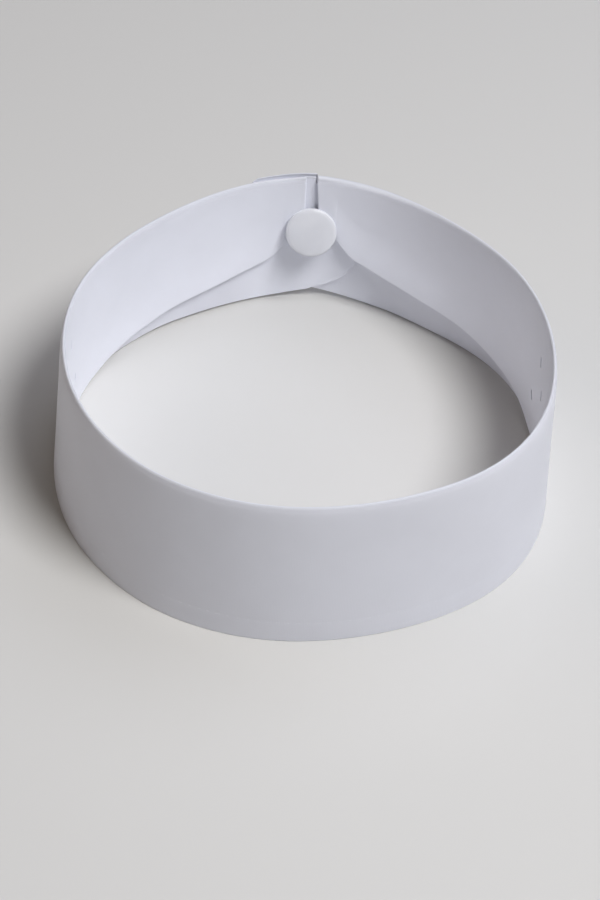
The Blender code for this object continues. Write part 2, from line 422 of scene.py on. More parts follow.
def face_levels(low, top):
    """Heights up one face, close together over the hem and where the fold begins."""
    span = top - low
    close = [low + 0.35, low + 0.9]
    close += [low + HEM + offset for offset in (-2.0, -0.9, -0.45, 0.0, 0.45, 0.9)]
    close += [top - below for below in (0.15, 0.4, 0.7, 1.1, 1.6, 2.3, 3.3)]
    even = [low + span * i / FACE_ROWS for i in range(1, FACE_ROWS)]
    kept = [h for h in even if min(abs(h - spot) for spot in close) > 0.6 and abs(h - low) > 0.6]
    return sorted(h for h in kept + close if low + EDGE_ROUND < h < top)


def outer_edge(distance, on_right):
    """Height of the outer leaf's lower edge, which lies lower on the right of the stud."""
    if distance < 0:
        return through(-distance, TONGUE_EDGE)
    sunk = RIGHT_SINK * ease((distance - 7.0) / 14.0) if on_right else 0.0
    return through(distance, OUTER_EDGE) * (1 - sunk)


def outer_leaf_section(travel):
    distance, on_right = from_back(travel)
    lapped = lap(max(distance, 0.0))
    shift = lap_shift(distance, on_right)
    reach = OUTER_END_REACH
    thin = 0.0
    back = 0.0
    if distance >= SLIT:
        full = 2 * CLOTH + SEAM + ((CLOTH + SEAM) * lapped if on_right else 0.0)
        into = min((distance - SLIT) / FOLD_END, 1.0)
        rounded = math.sqrt(1 - (1 - into) ** 2)
        top = DEPTH - STUMP_DROP * (1 - rounded)
        width = STUMP_WIDTH + (full - STUMP_WIDTH) * rounded
        crown = STUMP_CROWN + (CROWN - STUMP_CROWN) * rounded
        lip = STUMP_LIP + (DEPTH - CROWN - LIP_END - STUMP_LIP) * rounded
        turned_in = 1.0
        if not on_right:
            reach = INNER_END_REACH
            back = LEFT_BACK * lapped * into
    else:
        top = tail_top(-distance) if on_right else tongue_top(-distance)
        thin = END_THIN
        width, crown, lip = CLOTH + 0.02 - thin, CUT_CROWN, CUT_LIP
        turned_in = 0.0
    low = outer_edge(distance, on_right)
    rise = (top - crown - low) / (DEPTH - CROWN)
    levels = [low + level * rise for level in face_levels(0.0, DEPTH - CROWN)]
    spots = [(low + EDGE_ROUND, hem_form(EDGE_ROUND))]
    for height in levels:
        spots.append((height, hem_form(height - low) - turned_in * roll(ROLL, top - crown - height)))
    start = -turned_in * ROLL
    finish = turned_in * INNER_ROLL - width
    spots.append((top - crown, start))
    for step in range(1, FOLD_STEPS):
        turn = math.pi * step / FOLD_STEPS
        across = start + (finish - start) * (1 - math.cos(turn)) / 2
        spots.append((top - crown + crown * math.sin(turn), across))
    for share in LIP_SHARES:
        drawn = turned_in * roll(INNER_ROLL, lip * share)
        spots.append((top - crown - lip * share, drawn - width))
    spots.append((top - crown - lip, -CLOTH + thin))
    for n, height in enumerate(levels[::-1]):
        under_lip = top - crown - lip - BEHIND_LIP * (n + 1)
        spots.append((min(height, under_lip), thin * ease(height / top) - CLOTH))
    corner = EDGE_ROUND * 0.3
    spots += [(low + EDGE_ROUND, -CLOTH), (low + corner, -CLOTH + corner), (low, -CLOTH + EDGE_ROUND)]
    spots += [(low, -EDGE_ROUND + hem_form(0.0)), (low + corner, -corner + hem_form(0.0))]
    section = []
    for height, outward in spots:
        inward = back * ease(height / DEPTH) ** 2
        raised = risen(height, abs(distance), reach)
        section.append(on_wall(-travel, raised, shift + outward - inward))
    return section


def outer_leaf_travels():
    reach = TONGUE_EDGE[-1][0]
    found = stations(-reach, ROUND + reach, 0.6, 1.7)
    found = [s for s in found if abs(s + TONGUE_STEP) > 0.3]
    found += [-TONGUE_STEP - 0.05, -TONGUE_STEP + 0.05]
    for slit, way in ((SLIT, 1), (ROUND - SLIT, -1)):
        found = [s for s in found if not -0.3 < way * (s - slit) < FOLD_END + 0.2]
        found += [slit + way * step for step in (-0.02, 0.0, 0.03, 0.1, 0.2, FOLD_END)]
    return sorted(found)


def outer_leaf_inside(spot, travel):
    """Rises over the fold to 1 on the lip and the ends' inner faces; 0 along the sides paints shade."""
    fold_begins = len(face_levels(0.0, DEPTH - CROWN)) + 1
    if spot >= fold_begins + FOLD_STEPS + len(LIP_SHARES):
        return ease((WHITE_ENDS_SHADED_SIDES[1] - from_back(travel)[0]) / (WHITE_ENDS_SHADED_SIDES[1] - WHITE_ENDS_SHADED_SIDES[0]))
    return min(max((spot - fold_begins) / FOLD_STEPS, 0.0), 1.0)


outer_cloth = strip("outer_cloth", outer_leaf_travels(), outer_leaf_section, outer_leaf_inside)


# %% [markdown]
# ## The inner leaf
#
# It lies 0.3 mm inside the outer leaf, under the lip of the fold. Its ends stop either side of the
# slit, its lower edge leaves room for the stud's disc and then sweeps down to the table. Its edges
# are turned, so they are rounded. Round the back its free lower edge stands a little away from the
# outer leaf, more on the right than on the left: the photograph shows it as a step in the shading.

# %% Sections of the inner leaf
INNER_ROUND = 0.25
INNER_GAP = 0.03  # the two leaves lie edge to edge under the rim
NOTCH_PEAK = 31.2
INNER_ROWS = 14
INNER_END = 0.4
CURL = (0.45, 0.95)  # how far the free edge stands away, on the left and on the right
CURL_REACH = 13.0
CURL_LIFT = 1.1  # rise for each millimetre away, which keeps the edge where the photograph has it


def inner_leaf_edge(distance, on_right):
    """Height of the inner leaf's lower edge: behind the stud's disc, then down in a long sweep."""
    if distance < DISC_NOTCH:
        foot = INNER_EDGE[0][2 if on_right else 1]
        return foot + (NOTCH_PEAK - foot) * (1 - (distance / DISC_NOTCH) ** 2) ** 0.65
    return through(distance, INNER_EDGE, 2 if on_right else 1)


def curl(above_edge, distance, on_right):
    """How far the inner leaf's free lower edge stands away from the outer leaf."""
    along = ease((distance - 2.0) / 8.0) * ease((78.0 - distance) / 25.0)
    return CURL[on_right] * along * ease(1 - above_edge / CURL_REACH)


def inner_leaf_section(travel):
    distance, on_right = from_back(travel)
    outer = -(CLOTH + SEAM) - HALF_LAP * lap(distance)
    low = inner_leaf_edge(distance, on_right) + CURL_LIFT * curl(0.0, distance, on_right)
    top = LIP_END - INNER_GAP
    into = min(max((distance - SLIT) / INNER_END, 0.0), 1.0)
    half = CLOTH / 2 * (0.25 + 0.75 * math.sqrt(1 - (1 - into) ** 2))
    middle = outer - CLOTH / 2
    steps = [0.0, 0.01, 0.03] + [(i + 1) / INNER_ROWS for i in range(INNER_ROWS)]
    close = min(1.0, (top - low) / 15)
    span = top - 3.0 * close - low - INNER_ROUND
    levels = [low + INNER_ROUND + span * step for step in steps]
    levels += [top - below * close for below in (2.2, 1.5, 0.9, 0.4, 0.0)]
    spots = [(height, middle + half) for height in levels]
    for height in levels[::-1]:
        spots.append((height, middle - half + roll(INNER_ROLL, DEPTH - CROWN - height)))
    for turn in (30, 60, 90, 120, 150):
        across, drop = math.cos(math.radians(turn)), 1 - math.sin(math.radians(turn))
        spots.append((low + INNER_ROUND * drop, middle - half * across))
    section = []
    for height, outward in spots:
        lean = 0.0
        if on_right and distance < SLIT_LEAN_REACH:
            fade = (SLIT_LEAN_REACH - distance) / (SLIT_LEAN_REACH - SLIT)
            lean = SLIT_LEAN * (DEPTH - height) * fade
        inward = 0.0 if on_right else LEFT_BACK * lap(distance) * ease(height / DEPTH) ** 2
        inward += curl(height - low, distance, on_right)
        raised = risen(height, distance, OUTER_END_REACH if on_right else INNER_END_REACH)
        section.append(on_wall(-travel + lean, raised, outward - inward))
    return section


def inner_leaf_travels():
    found = stations(SLIT, ROUND - SLIT, 0.6, 1.7)
    for end, way in ((0.0, 1), (ROUND, -1)):
        found = [s for s in found if not way * (s - end) < SLIT + INNER_END + 0.1]
        found += [end + way * (SLIT + step) for step in (0.0, 0.04, 0.12, 0.24, INNER_END)]
        found = [s for s in found if not 6.3 < way * (s - end) < DISC_NOTCH + 0.5]
        steep = [DISC_NOTCH * math.sin(math.radians(turn)) for turn in (62, 68, 74, 79, 84, 88)]
        found += [end + way * step for step in (*steep, DISC_NOTCH - 0.002, DISC_NOTCH + 0.12)]
    return sorted(found)


inner_cloth = strip("inner_cloth", inner_leaf_travels(), inner_leaf_section, lambda spot, travel: 1.0)


# %% [markdown]
# ## Putting the pieces where the solids are
#
# The formulas measure from the middle of the neck, and the frame measures from under the middle of
# the collar's box. The outer leaf's own box gives the difference between the two, once for all.

# %% Shift from the plan's centre to the frame's origin
def plain_points(step=0.5):
    """The outer leaf's outer face with none of the scene's soft hollows, for its true box."""
    for along in np.arange(-TONGUE_EDGE[-1][0], ROUND + TONGUE_EDGE[-1][0], step):
        distance, on_right = from_back(along)
        low = through(-distance, TONGUE_EDGE) if distance < 0 else through(distance, OUTER_EDGE)
        point = on_wall(-along, low, lap_shift(distance, on_right))
        yield point - outwards_at(-along) * unevenness(-along / ARC_RADIUS, low)


cad_low, cad_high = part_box("outer_leaf")
flat_points = list(plain_points())
SHIFT = Vector((0.0, 0.0, 0.0))
for i in range(2):
    ours = (min(p[i] for p in flat_points) + max(p[i] for p in flat_points)) / 2
    SHIFT[i] = (cad_low[i] + cad_high[i]) / 2 - ours * MM
print("shift to the frame in mm:", [round(v / MM, 3) for v in SHIFT])


def settle(piece):
    """Moves a piece's points into the frame, so that its object stays at the origin."""
    piece.data.transform(Matrix.Translation(SHIFT))
    return piece


def compare(piece, node):
    """Prints how far the six sides of a piece's box are from its solid's."""
    low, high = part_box(node)
    points = np.array([vertex.co for vertex in piece.data.vertices])
    sides = [*points.min(axis=0).tolist(), *points.max(axis=0).tolist()]
    apart = [round((mine - cad) / MM, 2) for mine, cad in zip(sides, [*low, *high])]
    print(f"{piece.name} against its solid, mm:", apart)


compare(settle(outer_cloth), "outer_leaf")
compare(settle(inner_cloth), "inner_leaf")


# %% [markdown]
# ## Geometry Nodes for what repeats
#
# Air slits, stitches and buttonhole stitches are all one small shape set on many places. Geometry
# Nodes do exactly that: a path or a few points come in, Instance on Points sets the shape on each,
# and Realize Instances turns them into real faces. The sizes are named inputs of the tree, and
# once it has run, its result is kept as a plain mesh.

# %% Helpers for building trees
def add(tree, kind, *values, at=None, **named):
    """Adds a node. Values fill its inputs in order, at fills them by number, and named values
    go to the property or the input of that name. An output of another node is linked.
    """
    node = tree.nodes.new(kind)
    targets = dict(enumerate(values)) | (at or {})
    for label, value in named.items():
        if hasattr(node, label):
            setattr(node, label, value)
        else:
            targets[label.replace("_", " ")] = value
    for target, value in targets.items():
        if isinstance(value, bpy.types.NodeSocket):
            tree.links.new(value, node.inputs[target])
        else:
            node.inputs[target].default_value = value
    return node


def calculate(tree, operation, first, second):
    return add(tree, "ShaderNodeMath", first, second, operation=operation).outputs[0]


def new_tree(name, sizes):
    """An empty tree with a geometry input and named number inputs."""
    tree = bpy.data.node_groups.new(name, "GeometryNodeTree")
    tree.is_modifier = True
    sides = tree.interface
    sides.new_socket(name="Geometry", in_out="INPUT", socket_type="NodeSocketGeometry")
    for label, value in sizes.items():
        socket = sides.new_socket(name=label, in_out="INPUT", socket_type="NodeSocketFloat")
        socket.default_value = value
    sides.new_socket(name="Material", in_out="INPUT", socket_type="NodeSocketMaterial")
    sides.new_socket(name="Geometry", in_out="OUTPUT", socket_type="NodeSocketGeometry")
    return tree, tree.nodes.new("NodeGroupInput").outputs


def finish_tree(tree, given, result):
    """Ends a tree with Realize Instances and Set Material."""
    real = add(tree, "GeometryNodeRealizeInstances", result).outputs[0]
    dress = add(tree, "GeometryNodeSetMaterial", Geometry=real, Material=given["Material"])
    tree.links.new(dress.outputs["Geometry"], tree.nodes.new("NodeGroupOutput").inputs[0])
    return tree


def result_of(item):
    """A plain mesh of what an object's modifiers make."""
    bpy.context.view_layer.update()
    evaluated = item.evaluated_get(bpy.context.evaluated_depsgraph_get())
    return bpy.data.meshes.new_from_object(evaluated)


def made_by(tree, source, sizes, material, name):
    """Runs the tree on a source object and keeps the result as one plain mesh."""
    run = source.modifiers.new("Nodes", "NODES")
    run.node_group = tree
    values = sizes | {"Material": material}
    for socket in tree.interface.items_tree:
        if socket.in_out == "INPUT" and socket.name in values:
            run[socket.identifier] = values[socket.name]
    mesh = result_of(source)
    mesh.name = name
    source.modifiers.remove(run)
    bpy.data.objects.remove(source, do_unlink=True)
    print(f"{name}: {len(mesh.polygons)} faces from the tree {tree.name}")
    return placed(name, mesh)


def path(name, points, closed=False):
    """A poly curve through points in the frame, for a tree to follow."""
    curve = bpy.data.curves.new(name, "CURVE")
    curve.dimensions = "3D"
    line = curve.splines.new("POLY")
    line.points.add(len(points) - 1)
    for spot, point in zip(line.points, points):
        spot.co = (*point, 1.0)
    line.use_cyclic_u = closed
    return placed(name, curve)


# %% [markdown]
# ## Finishes
#
# The cloth is a close plain weave, starched smooth. Its colour is a cool white that wanders by a
# shade or two, as washed cloth does. The weave is two sets of threads read from the UV map, so it
# bends with the strip, and it is only a slight bump: from arm's length such cloth looks nearly
# plain. The whites, and the painted shade that greys the crest of the fold, were set by comparing
# renders with the photograph.

# %% Node helpers for materials
def material_named(name, colour, roughness, **others):
    """A material and its shader. The values given go to the shader's inputs of those names."""
    material = bpy.data.materials.new(name)
    material.use_nodes = True
    shader = material.node_tree.nodes["Principled BSDF"]
    settings = {"Base Color": (*colour, 1.0), "Roughness": roughness} | others
    for label, value in settings.items():
        shader.inputs[label.replace("_", " ")].default_value = value
    return material, shader


def drive(tree, shader, **outputs):
    """Links outputs of nodes to the shader's inputs of those names."""
    for label, output in outputs.items():
        tree.links.new(output, shader.inputs[label.replace("_", " ")])


def ramp(tree, factor, low_colour, high_colour, low=0.3, high=0.7):
    node = add(tree, "ShaderNodeValToRGB", factor)
    for stop, position, colour in zip(node.color_ramp.elements, (low, high), (low_colour, high_colour)):
        stop.position = position
        stop.color = (*colour, 1.0)
    return node.outputs["Color"]


# %% Starched cloth
THREADS_PER_MM = 2.6
SLUB_SHARE = 0.8  # how much thick and thin places in the yarn add to the weave's relief
DRIFT = 0.03
PAINTED_CREST_SHADE = 0.79  # painted shade that greys the fold's crest, which looks a shade greyer in the photograph
PAINTED_CREST_DEPTH = 0.8
OUTER_WHITE = (0.780, 0.790, 0.860)
INNER_WHITE = (0.895, 0.910, 0.985)


def starched_cloth(name, outside, inside, roughness):
    """Close plain weave: two thread directions from the UV map, and a slow drift of colour."""
    touch = {"Sheen Weight": 0.12, "Sheen Roughness": 0.45, "Specular IOR Level": 0.32}
    material, shader = material_named(name, outside, roughness, **touch)
    tree = material.node_tree
    places = add(tree, "ShaderNodeTexCoord").outputs["Object"]
    spread = add(tree, "ShaderNodeUVMap", uv_map="cloth").outputs["UV"]

    # painted shade: where the stored number is 0 on an inner face, the duller outer white stands in for
    # shade
    side = add(tree, "ShaderNodeAttribute", attribute_name="inside").outputs["Fac"]
    whites = {0: side, 6: (*outside, 1.0), 7: (*inside, 1.0)}
    white = add(tree, "ShaderNodeMix", at=whites, data_type="RGBA").outputs[2]
    cloud = add(tree, "ShaderNodeTexNoise", places, Scale=38.0, Detail=3.0, Roughness=0.55)
    drift = cloud.outputs["Fac"]
    washed = add(tree, "ShaderNodeMapRange", drift, 0.35, 0.62, 1 - DRIFT).outputs["Result"]
    # painted shade: the colour is greyed over the top of the fold, so its crest reads darker
    height = add(tree, "ShaderNodeSeparateXYZ", places).outputs["Z"]
    crest_from, crest_to = (DEPTH - PAINTED_CREST_DEPTH) * MM, DEPTH * MM
    painted_crest_shade = add(tree, "ShaderNodeMapRange", height, crest_from, crest_to, 1.0, PAINTED_CREST_SHADE)
    painted_crest_shade.interpolation_type = "SMOOTHSTEP"
    shade = calculate(tree, "MULTIPLY", washed, painted_crest_shade.outputs["Result"])
    shaded = add(tree, "ShaderNodeVectorMath", white, operation="SCALE", Scale=shade)

    threads = []
    yarn = {"Scale": THREADS_PER_MM * 1000 * math.tau / 20, "Distortion": 0.6, "Detail": 1.0}
    for direction in ("X", "Y"):
        wave = add(tree, "ShaderNodeTexWave", spread, bands_direction=direction, **yarn)
        threads.append(wave.outputs["Fac"])
    weave = calculate(tree, "ADD", *threads)
    slub = add(tree, "ShaderNodeTexNoise", spread, Scale=900.0, Detail=2.0).outputs["Fac"]
    surface = add(tree, "ShaderNodeMath", slub, SLUB_SHARE, weave, operation="MULTIPLY_ADD").outputs[0]
    bump = add(tree, "ShaderNodeBump", Strength=0.10, Distance=0.00004, Height=surface)
    gloss = add(tree, "ShaderNodeMapRange", drift, 0.0, 1.0, roughness - 0.05, roughness + 0.07)
    drive(tree, shader, Base_Color=shaded.outputs["Vector"], Normal=bump.outputs["Normal"])
    drive(tree, shader, Roughness=gloss.outputs["Result"])
    return material


outer_finish = starched_cloth("starched outer cloth", OUTER_WHITE, INNER_WHITE, 0.52)
inner_finish = starched_cloth("starched inner cloth", INNER_WHITE, INNER_WHITE, 0.50)
outer_cloth.data.materials.append(outer_finish)
inner_cloth.data.materials.append(inner_finish)
print("cloth finishes:", outer_finish.name, "and", inner_finish.name)


# %% [markdown]
# Sewing thread is a twisted yarn, a little glossier than the cloth. The twist is a fine wave
# across each stitch. The stud is moulded plastic: smoother than the cloth, a less blue and slightly
# darker white, with faint ripples in the moulding and fine rubbing that dulls it unevenly.

# %% Thread and plastic
def sewing_thread():
    white = (0.75, 0.76, 0.82)
    material, shader = material_named("white sewing thread", white, 0.45, Sheen_Weight=0.2)
    tree = material.node_tree
    places = add(tree, "ShaderNodeTexCoord").outputs["Object"]
    wave = add(tree, "ShaderNodeTexWave", places, bands_direction="DIAGONAL", Scale=900.0)
    twist = wave.outputs["Fac"]
    shades = ramp(tree, twist, (0.70, 0.71, 0.77), (0.77, 0.78, 0.84), 0.2, 0.8)
    bump = add(tree, "ShaderNodeBump", Strength=0.4, Distance=0.00005, Height=twist)
    drive(tree, shader, Base_Color=shades, Normal=bump.outputs["Normal"])
    return material


def moulded_plastic():
    white = (0.74, 0.75, 0.79)
    material, shader = material_named("white moulded plastic", white, 0.30, Specular_IOR_Level=0.5)
    tree = material.node_tree
    places = add(tree, "ShaderNodeTexCoord").outputs["Object"]
    cloud = add(tree, "ShaderNodeTexNoise", places, Scale=140.0, Detail=3.0).outputs["Fac"]
    shades = ramp(tree, cloud, (0.715, 0.725, 0.765), (0.755, 0.764, 0.803), 0.35, 0.65)
    rub = add(tree, "ShaderNodeTexNoise", places, Scale=1600.0, Detail=4.0, Roughness=0.6)
    gloss = add(tree, "ShaderNodeMapRange", rub.outputs["Fac"], 0.0, 1.0, 0.25, 0.42)
    bump = add(tree, "ShaderNodeBump", Strength=0.08, Distance=0.0002, Height=cloud)
    drive(tree, shader, Base_Color=shades, Normal=bump.outputs["Normal"])
    drive(tree, shader, Roughness=gloss.outputs["Result"])
    return material


thread_finish = sewing_thread()
plastic_finish = moulded_plastic()
print("small finishes:", thread_finish.name, "and", plastic_finish.name)

# %% [markdown]
# ## Air slits in the inner leaf
#
# Over each side of the neck the inner leaf has three short upright slits. They are real openings,
# so they are cut: a tree sets a long thin bar with round ends on each slit's place, turned by the
# direction that the place stores, and a Boolean takes those bars out of the cloth.

# %% A tree that sets a rounded bar on each place
AIR_SLITS = (
    # distance from the back centre, height
    (92.5, 31.0),
    (97.0, 23.0),
    (87.0, 14.5),
)
AIR_SLIT_LEAN = 10.0
AIR_SLIT = {"Width": 0.75 * MM, "Length": 3.2 * MM, "Depth": 2.2 * MM}
UP = Vector((0, 0, 1))


def facing_places(name, spots):
    """A mesh of loose points, each with the way it faces and the way its bar runs stored."""
    mesh = bpy.data.meshes.new(name)
    mesh.from_pydata([spot for spot, _, _ in spots], [], [])
    for column, label in ((1, "facing"), (2, "running")):
        stored = mesh.attributes.new(label, "FLOAT_VECTOR", "POINT")
        for item, spot in zip(stored.data, spots):
            item.vector = spot[column]
    return placed(name, mesh)


def upright_bar_tree():
    """A bar with round ends on each point, upright and facing along the point's direction."""
    tree, given = new_tree("upright bars", AIR_SLIT)
    straight = calculate(tree, "SUBTRACT", given["Length"], given["Width"])
    halves = [calculate(tree, "MULTIPLY", straight, half) for half in (-0.5, 0.5)]
    low, high = [add(tree, "ShaderNodeCombineXYZ", X=half).outputs[0] for half in halves]
    line = add(tree, "GeometryNodeCurvePrimitiveLine", Start=low, End=high).outputs[0]
    outline = add(tree, "GeometryNodeMeshCylinder", Vertices=20, Depth=given["Depth"])
    tree.links.new(calculate(tree, "MULTIPLY", given["Width"], 0.5), outline.inputs["Radius"])
    ends = add(tree, "GeometryNodeInstanceOnPoints", Points=line, Instance=outline.outputs["Mesh"])
    both = add(tree, "GeometryNodeRealizeInstances", ends.outputs["Instances"]).outputs[0]
    bar = add(tree, "GeometryNodeConvexHull", both).outputs[0]
    ways = []
    for label in ("facing", "running"):
        stored = add(tree, "GeometryNodeInputNamedAttribute", data_type="FLOAT_VECTOR", Name=label)
        ways.append(stored.outputs["Attribute"])
    face = add(tree, "FunctionNodeAlignRotationToVector", axis="Z", Vector=ways[0]).outputs[0]
    upright = add(tree, "FunctionNodeAlignRotationToVector", axis="X", pivot_axis="Z")
    tree.links.new(face, upright.inputs["Rotation"])
    tree.links.new(ways[1], upright.inputs["Vector"])
    place = add(tree, "GeometryNodeInstanceOnPoints", Points=given["Geometry"], Instance=bar)
    tree.links.new(upright.outputs["Rotation"], place.inputs["Rotation"])
    return finish_tree(tree, given, place.outputs["Instances"])


bars = upright_bar_tree()

# %% Cut the slits


def cut(piece, cutter):
    """Takes the cutter out of the piece, keeps the result and removes the cutter."""
    knife = piece.modifiers.new("Cut", "BOOLEAN")
    knife.operation = "DIFFERENCE"
    knife.object = cutter
    mesh = result_of(piece)
    piece.modifiers.remove(knife)
    piece.data = mesh
    bpy.data.objects.remove(cutter, do_unlink=True)
    mesh.set_sharp_from_angle(angle=CREASE)
    print(f"{piece.name} after cutting: {len(mesh.polygons)} faces")


slit_spots = []
for distance, height in AIR_SLITS:
    for way in (-1, 1):
        middle = on_wall(way * distance, height, -(CLOTH + SEAM) - CLOTH / 2) * MM + SHIFT
        facing = outwards_at(way * distance)
        level_way = facing.cross(UP)
        running = UP - level_way * way * math.tan(math.radians(AIR_SLIT_LEAN))
        slit_spots.append((middle, facing, running))
slit_places = facing_places("slit places", slit_spots)
cut(inner_cloth, made_by(bars, slit_places, AIR_SLIT, inner_finish, "slit_bars"))

# %% [markdown]
# ## Buttonholes
#
# Each end of the outer leaf has one upright buttonhole. The stud's post goes through both. The same
# tree makes the bar that cuts them, with other sizes.

# %% Cut both buttonholes with one bar
BUTTONHOLE = {"Width": 3.8 * MM, "Length": 6.0 * MM, "Depth": 9.0 * MM}
hole_middle = on_wall(STUD_SIDE, STUD_HEIGHT, -0.7) * MM + SHIFT
hole_place = facing_places("buttonhole place", [(hole_middle, Vector((0, 1, 0)), UP)])
cut(outer_cloth, made_by(bars, hole_place, BUTTONHOLE, outer_finish, "hole_bar"))

# %% [markdown]
# ## Stitches
#
# One row of lockstitch holds the hem, about 6 mm above the lower edge. From outside it is a line of
# short dashes that sink a little into the cloth. The tree resamples a path to one point for each
# stitch, and sets a small rounded grain of thread on each, turned along the path. A random number
# with a fixed seed makes each stitch slightly larger or smaller.

# %% A tree that sews along a path
STITCH = {"Pitch": 2.5 * MM, "Length": 1.7 * MM, "Thickness": 0.16 * MM, "Unevenness": 0.12}


def stitch_tree(name, axis):
    """A grain of thread on each step of a path, with the given axis of the grain along the path."""
    tree, given = new_tree(name, STITCH)
    steps = add(tree, "GeometryNodeResampleCurve", mode="LENGTH", Curve=given["Geometry"])
    tree.links.new(given["Pitch"], steps.inputs["Length"])
    grain = add(tree, "GeometryNodeMeshUVSphere", Segments=8, Rings=6, Radius=0.5).outputs["Mesh"]
    tangent = add(tree, "GeometryNodeInputTangent").outputs[0]
    along = add(tree, "FunctionNodeAlignRotationToVector", axis=axis, Vector=tangent).outputs[0]
    thick = given["Thickness"]
    size = add(tree, "ShaderNodeCombineXYZ", given["Length"], thick, thick).outputs[0]
    least = calculate(tree, "SUBTRACT", 1.0, given["Unevenness"])
    most = calculate(tree, "ADD", 1.0, given["Unevenness"])
    chance = add(tree, "FunctionNodeRandomValue", at={2: least, 3: most}, data_type="FLOAT", Seed=7)
    varied = add(tree, "ShaderNodeVectorMath", size, operation="SCALE", Scale=chance.outputs[1])
    place = add(tree, "GeometryNodeInstanceOnPoints", Points=steps.outputs["Curve"], Instance=grain)
    tree.links.new(along, place.inputs["Rotation"])
    tree.links.new(varied.outputs["Vector"], place.inputs["Scale"])
    real = add(tree, "GeometryNodeRealizeInstances", place.outputs["Instances"]).outputs[0]
    smooth = add(tree, "GeometryNodeSetShadeSmooth", real).outputs[0]
    return finish_tree(tree, given, smooth)


sewing = stitch_tree("stitches along", "X")


# %% Sew the hem
def hem_point(travel):
    """A point on the hem's row of stitches, sunk halfway into its groove."""
    distance, on_right = from_back(travel)
    low = outer_edge(distance, on_right)
    top = DEPTH - CROWN
    height = low + HEM * (top - low) / top
    sunk = hem_form(HEM) - STITCH["Thickness"] / MM * 0.3
    return on_wall(-travel, height, lap_shift(distance, on_right) + sunk) * MM + SHIFT


HEM_START = 0.8  # the row starts just past the slit on the left
HEM_PAST = 8.0  # and ends this far past the back centre, on the tail
hem_steps = np.arange(HEM_START, ROUND + HEM_PAST, 0.8)
hem_line = path("hem line", [hem_point(travel) for travel in hem_steps])
hem_stitches = made_by(sewing, hem_line, STITCH, thread_finish, "hem_stitches")

# %% [markdown]
# Round the buttonhole on the outer end, thread is wrapped over the cut edge, stitch beside stitch.
# The path runs round the hole and each stitch lies across it, so here the tree aligns the grain's
# short Z axis with the path.

# %% Sew the outer buttonhole
HOLE_STITCH = {"Pitch": 0.36 * MM, "Length": 0.95 * MM, "Thickness": 0.34 * MM, "Unevenness": 0.08}
HOLE_MARGIN = 0.25


def hole_round(outward):
    """Points round the buttonhole, just outside its cut edge, on a face of the cloth."""
    half = BUTTONHOLE["Width"] / MM / 2 + HOLE_MARGIN
    straight = (BUTTONHOLE["Length"] - BUTTONHOLE["Width"]) / MM / 2
    points = []
    for turn in np.arange(0.0, 360.0, 7.5):
        x = half * math.cos(math.radians(turn))
        z = half * math.sin(math.radians(turn)) + math.copysign(straight, 180 - turn)
        points.append(on_wall(STUD_SIDE + x, STUD_HEIGHT + z, outward) * MM + SHIFT)
    return points


hole_line = path("buttonhole line", hole_round(HALF_LAP + 0.02), closed=True)
hole_stitches = made_by(
    stitch_tree("stitches across", "Z"), hole_line, HOLE_STITCH, thread_finish, "buttonhole_stitches"
)

# %% [markdown]
# ## The stud
#
# A collar stud is turned or moulded round one axis, so its whole form is one profile spun round.
# Seen in the photograph's light, the disc is nearly flat in the middle and rolls over at its rim
# in a bright curved band. The solid's place, lean and radius are kept, with more sides and a softer
# profile. The disc is drawn thinner and a little nearer the cloth than the solid, as its shadow in
# the photograph asks.

# %% Spin the stud
STUD_LEAN = 20.0
DISC_RADIUS = 7.0
DISC_DOME = 0.55
DISC_EDGE = 0.5
DISC_SEAT_RADIUS = 4.9
DISC_THICKNESS = 2.4
POST_RADIUS = 1.6
HEAD_RADIUS = 4.0
HEAD_THICKNESS = 1.4
STUD_SIDES = 128


def arc(middle, radius, start, end, steps):
    """Points of a circle's part in the profile plane: distance from the axis, place along it."""
    turns = [math.radians(start + (end - start) * i / steps) for i in range(steps + 1)]
    return [(middle[0] + radius * math.cos(t), middle[1] + radius * math.sin(t)) for t in turns]


def stud_profile():
    """Distance from the axis and place along it, from the neck side out."""
    lean = math.radians(STUD_LEAN) + math.atan(FLARE / DEPTH)
    tongue_inside = HALF_LAP + CLOTH
    disc_back = (tongue_inside + DISC_SEAT_RADIUS * math.sin(lean) + SEAM) / math.cos(lean)
    head_back = -(HALF_LAP + HEAD_RADIUS * math.sin(lean) + SEAM) / math.cos(lean)
    front = disc_back + DISC_THICKNESS
    shares = [i / 12 for i in range(1, 12)]
    crown = [(DISC_RADIUS * share, front - DISC_DOME * share**3) for share in shares]
    rolled = arc((DISC_RADIUS - DISC_EDGE, front - DISC_DOME - DISC_EDGE), DISC_EDGE, 70, 0, 8)
    under = arc((DISC_RADIUS - 0.9, disc_back + 0.9), 0.9, 0, -90, 8)
    neck = [(POST_RADIUS + 0.35, disc_back), (POST_RADIUS, disc_back - 0.35)]
    neck += [(POST_RADIUS, head_back + 0.3), (POST_RADIUS + 0.3, head_back)]
    head_in = arc((HEAD_RADIUS - 0.35, head_back - 0.35), 0.35, 90, 0, 4)
    head_low = head_back - HEAD_THICKNESS
    head_out = arc((HEAD_RADIUS - 0.6, head_low + 0.6), 0.6, 0, -90, 6)
    return [(0.0, front), *crown, *rolled, *under, *neck, *head_in, *head_out, (0.0, head_low)]


def spun(name, profile, sides):
    shape = bmesh.new()
    rings = []
    for radius, along in profile:
        if radius == 0.0:
            rings.append([shape.verts.new((0, 0, along * MM))])
            continue
        turns = [math.tau * i / sides for i in range(sides)]
        ring = [(radius * math.cos(t) * MM, radius * math.sin(t) * MM, along * MM) for t in turns]
        rings.append([shape.verts.new(point) for point in ring])
    for before, after in zip(rings, rings[1:]):
        for i in range(sides):
            j = (i + 1) % sides
            corners = [before[i % len(before)], before[j % len(before)]]
            corners += [after[j % len(after)], after[i % len(after)]]
            shape.faces.new(list(dict.fromkeys(corners)))
    return piece_of(name, shape)


